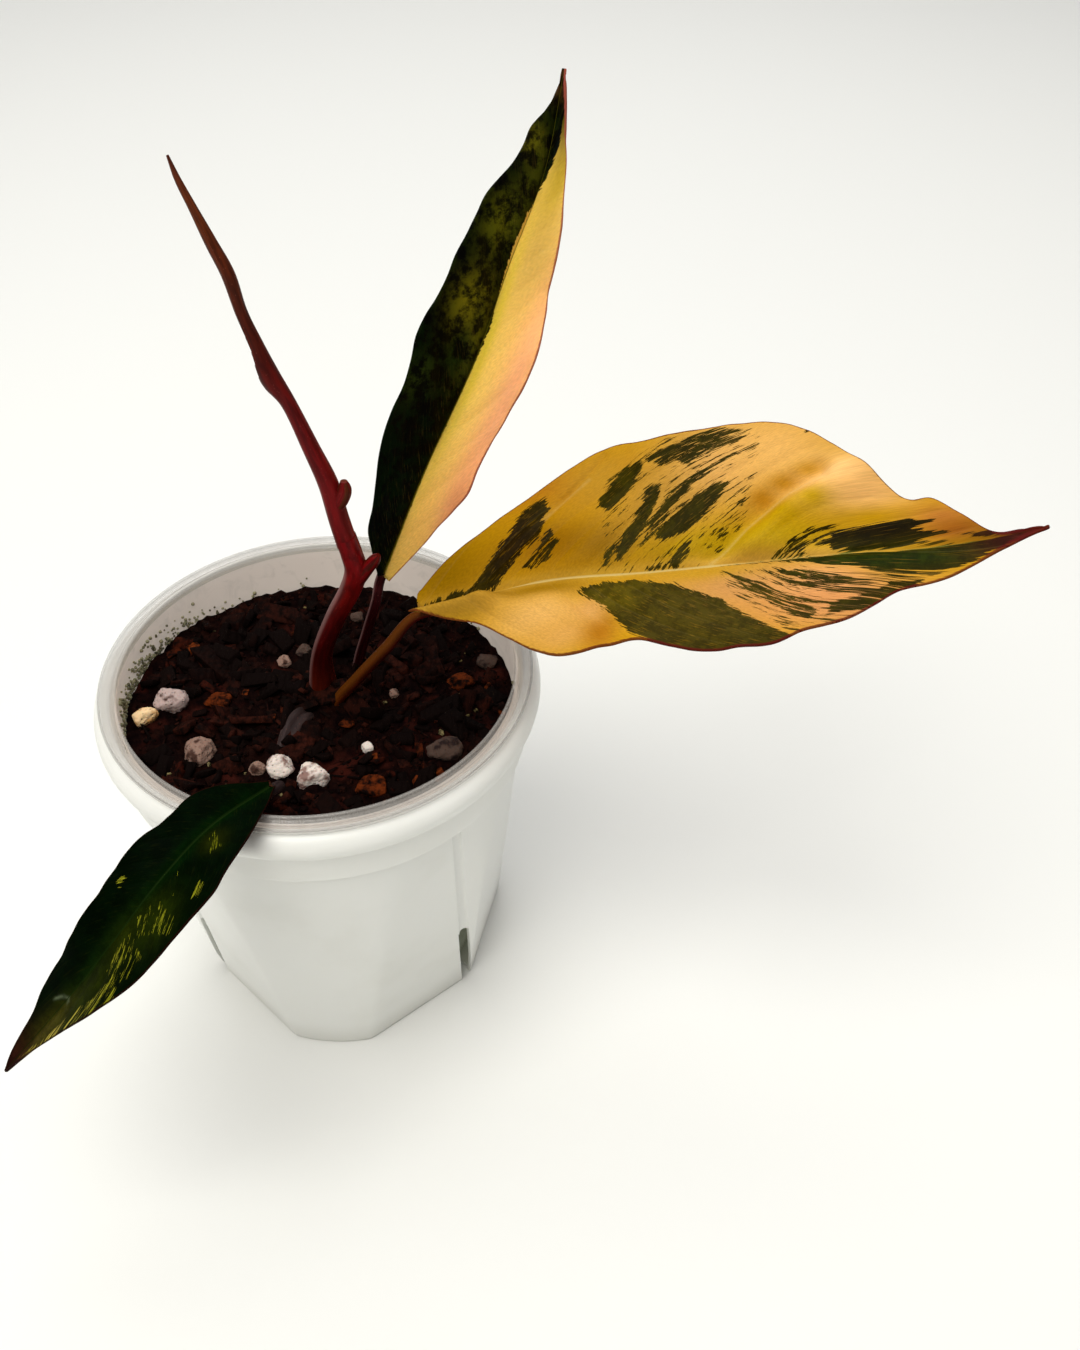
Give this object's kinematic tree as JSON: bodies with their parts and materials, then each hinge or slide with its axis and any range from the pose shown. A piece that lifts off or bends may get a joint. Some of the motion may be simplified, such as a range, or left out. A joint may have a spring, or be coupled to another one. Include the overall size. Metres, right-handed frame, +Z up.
{
  "type": "potted philodendron",
  "caption": "Young variegated philodendron with one rolled new leaf, planted in bark mix in a clear liner that hangs in a white slit pot",
  "frame": {"origin": "the middle of the outer pot's foot, on the surface that it stands on", "axes": "+Z up, -Y towards the viewer of the picture, +X towards the tip of the wide leaf"},
  "size_m": [0.2456, 0.1548, 0.2453],
  "materials": {
    "white_plastic": "smooth moulded, soft sheen",
    "clear_plastic": "thin clear thermoformed, glossy",
    "bark_mix": "damp, dark, coarse",
    "bark_chip": "rough, matt",
    "perlite": "chalky, porous",
    "stem_red": "smooth, soft sheen",
    "leaf_yellow": "waxy, soft sheen",
    "leaf_dark": "waxy, soft sheen"
  },
  "bodies": {
    "root": {"outer_pot": "white_plastic", "liner_pot": "clear_plastic", "soil": "bark_mix", "stem": "stem_red", "new_leaf": "stem_red", "wide_leaf": "leaf_yellow", "wide_petiole": "stem_red", "upright_leaf": "leaf_dark", "upright_petiole": "stem_red", "low_leaf": "leaf_dark", "low_petiole": "stem_red", "perlite_pitted": "perlite", "perlite_cream": "perlite", "perlite_rose": "perlite", "perlite_round": "perlite", "perlite_small": "perlite", "perlite_wedge": "perlite", "perlite_spark": "perlite", "perlite_dot": "perlite", "perlite_left": "perlite", "perlite_middle": "perlite", "perlite_back": "perlite", "perlite_grey": "perlite", "perlite_right": "perlite", "bark_amber": "bark_chip", "bark_brown": "bark_chip", "bark_rust": "bark_chip", "bark_tan": "bark_chip"}
  },
  "joints": []
}
